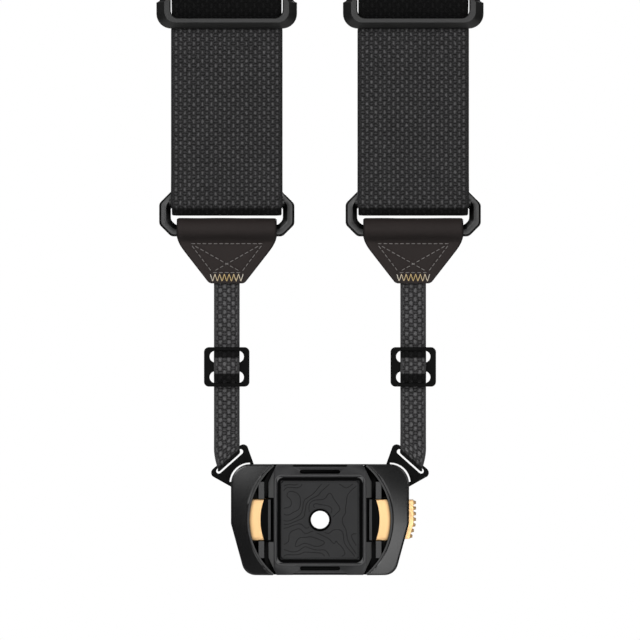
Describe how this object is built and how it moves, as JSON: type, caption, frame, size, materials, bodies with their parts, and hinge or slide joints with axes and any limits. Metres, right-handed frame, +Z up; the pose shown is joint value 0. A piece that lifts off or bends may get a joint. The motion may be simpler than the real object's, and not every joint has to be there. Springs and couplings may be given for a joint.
{
  "type": "camera neck strap with quick-release clamp",
  "caption": "Neck strap of wide and narrow webbing with sliders, rings and leather tabs, holding a thumb-released clamp with a dovetail camera plate.",
  "frame": {"origin": "top of the neck band's arch, on its inner surface", "axes": "+Z up along the hanging strap, +X to the viewer's right, -Y towards the viewer, where the camera plate faces"},
  "size_m": [0.1338, 0.0406, 0.5023],
  "materials": {
    "webbing": "woven, charcoal",
    "narrow_webbing": "woven, charcoal",
    "black_metal": "matte black",
    "leather": "dark brown-black, fine grain",
    "grey_thread": "thread",
    "tan_thread": "thread",
    "black_anodised": "black anodised, semi-gloss",
    "black_satin": "black anodised, satin",
    "gold_anodised": "champagne anodised",
    "brass": "machined",
    "steel": "turned",
    "black_steel": "black oxide",
    "rubber": "matte, engraved contour lines"
  },
  "bodies": {
    "neck_strap": {"wide_webbing": "webbing"},
    "wide_slider_left": {"wide_slider_left": "black_metal", "wide_webbing_hump_left": "webbing"},
    "ring_left": {"ring_left": "black_metal"},
    "hanger_left": {"tab_left": "leather", "box_stitching_left": "grey_thread", "bartack_left": "tan_thread", "narrow_webbing_left": "narrow_webbing"},
    "narrow_slider_left": {"narrow_slider_left": "black_metal", "narrow_webbing_hump_left": "narrow_webbing"},
    "wide_slider_right": {"wide_slider_right": "black_metal", "wide_webbing_hump_right": "webbing"},
    "ring_right": {"ring_right": "black_metal"},
    "hanger_right": {"tab_right": "leather", "box_stitching_right": "grey_thread", "bartack_right": "tan_thread", "narrow_webbing_right": "narrow_webbing"},
    "narrow_slider_right": {"narrow_slider_right": "black_metal", "narrow_webbing_hump_right": "narrow_webbing"},
    "clamp": {"clamp_body": "black_anodised", "back_cover": "black_satin", "cover_screws": "black_steel", "lug_left": "black_metal", "lug_right": "black_metal", "lug_loop_left": "narrow_webbing", "lug_loop_right": "narrow_webbing", "return_spring_left": "steel", "return_spring_right": "steel"},
    "release": {"left_carrier": "gold_anodised", "thumb_button": "gold_anodised", "left_jaw": "black_satin", "jaw_screws_left": "steel"},
    "right_jaw": {"right_carrier": "gold_anodised", "right_jaw": "black_satin", "jaw_screws_right": "steel"},
    "pinion": {"pinion": "brass"},
    "plate": {"quick_release_plate": "black_satin", "plate_pad": "rubber"}
  },
  "joints": [
    {"name": "wide_slider_left_slide", "type": "slide", "parent": "neck_strap", "child": "wide_slider_left", "axis": [0, 0, 1], "range_m": [-0.04, 0.02]},
    {"name": "wide_slider_right_slide", "type": "slide", "parent": "neck_strap", "child": "wide_slider_right", "axis": [0, 0, 1], "range_m": [-0.04, 0.02]},
    {"name": "ring_left_swing", "type": "hinge", "parent": "neck_strap", "child": "ring_left", "pos_m": [-0.0345, 0, -0.3624], "axis": [1, 0, 0], "range_deg": [-60, 60]},
    {"name": "ring_right_swing", "type": "hinge", "parent": "neck_strap", "child": "ring_right", "pos_m": [0.0345, 0, -0.3624], "axis": [1, 0, 0], "range_deg": [-60, 60]},
    {"name": "tab_left_swing", "type": "hinge", "parent": "ring_left", "child": "hanger_left", "pos_m": [-0.0345, 0, -0.373], "axis": [1, 0, 0], "range_deg": [-60, 60]},
    {"name": "tab_right_swing", "type": "hinge", "parent": "ring_right", "child": "hanger_right", "pos_m": [0.0345, 0, -0.373], "axis": [1, 0, 0], "range_deg": [-60, 60]},
    {"name": "narrow_slider_left_slide", "type": "slide", "parent": "hanger_left", "child": "narrow_slider_left", "axis": [0, 0, 1], "range_m": [-0.012, 0.02]},
    {"name": "narrow_slider_right_slide", "type": "slide", "parent": "hanger_right", "child": "narrow_slider_right", "axis": [0, 0, 1], "range_m": [-0.012, 0.02]},
    {"name": "clamp_swing", "type": "hinge", "parent": "hanger_left", "child": "clamp", "pos_m": [-0.0345, 0, -0.4506], "axis": [1, 0, 0], "range_deg": [-60, 60]},
    {"name": "release_button", "type": "slide", "parent": "clamp", "child": "release", "axis": [1, 0, 0], "range_m": [-0.0016, 0], "stiffness_N_per_m": 600, "springref_m": 0.003, "deforming": ["return_spring_left"]},
    {"name": "right_jaw_slide", "type": "slide", "parent": "clamp", "child": "right_jaw", "axis": [1, 0, 0], "range_m": [0, 0.0016], "deforming": ["return_spring_right"]},
    {"name": "pinion_turn", "type": "hinge", "parent": "clamp", "child": "pinion", "pos_m": [0, 0.002, -0.48], "axis": [0, 1, 0], "range_deg": [-12.8, 0]},
    {"name": "plate_lift", "type": "slide", "parent": "clamp", "child": "plate", "axis": [0, -1, 0], "range_m": [0, 0.0016]}
  ],
  "couplings": [
    {"joint": "ring_right_swing", "follows": "ring_left_swing", "ratio": 1},
    {"joint": "tab_right_swing", "follows": "tab_left_swing", "ratio": 1},
    {"joint": "right_jaw_slide", "follows": "release_button", "ratio": -1},
    {"joint": "pinion_turn", "follows": "release_button", "rad_per_m": 138.89},
    {"joint": "plate_lift", "follows": "release_button", "ratio": -1}
  ]
}
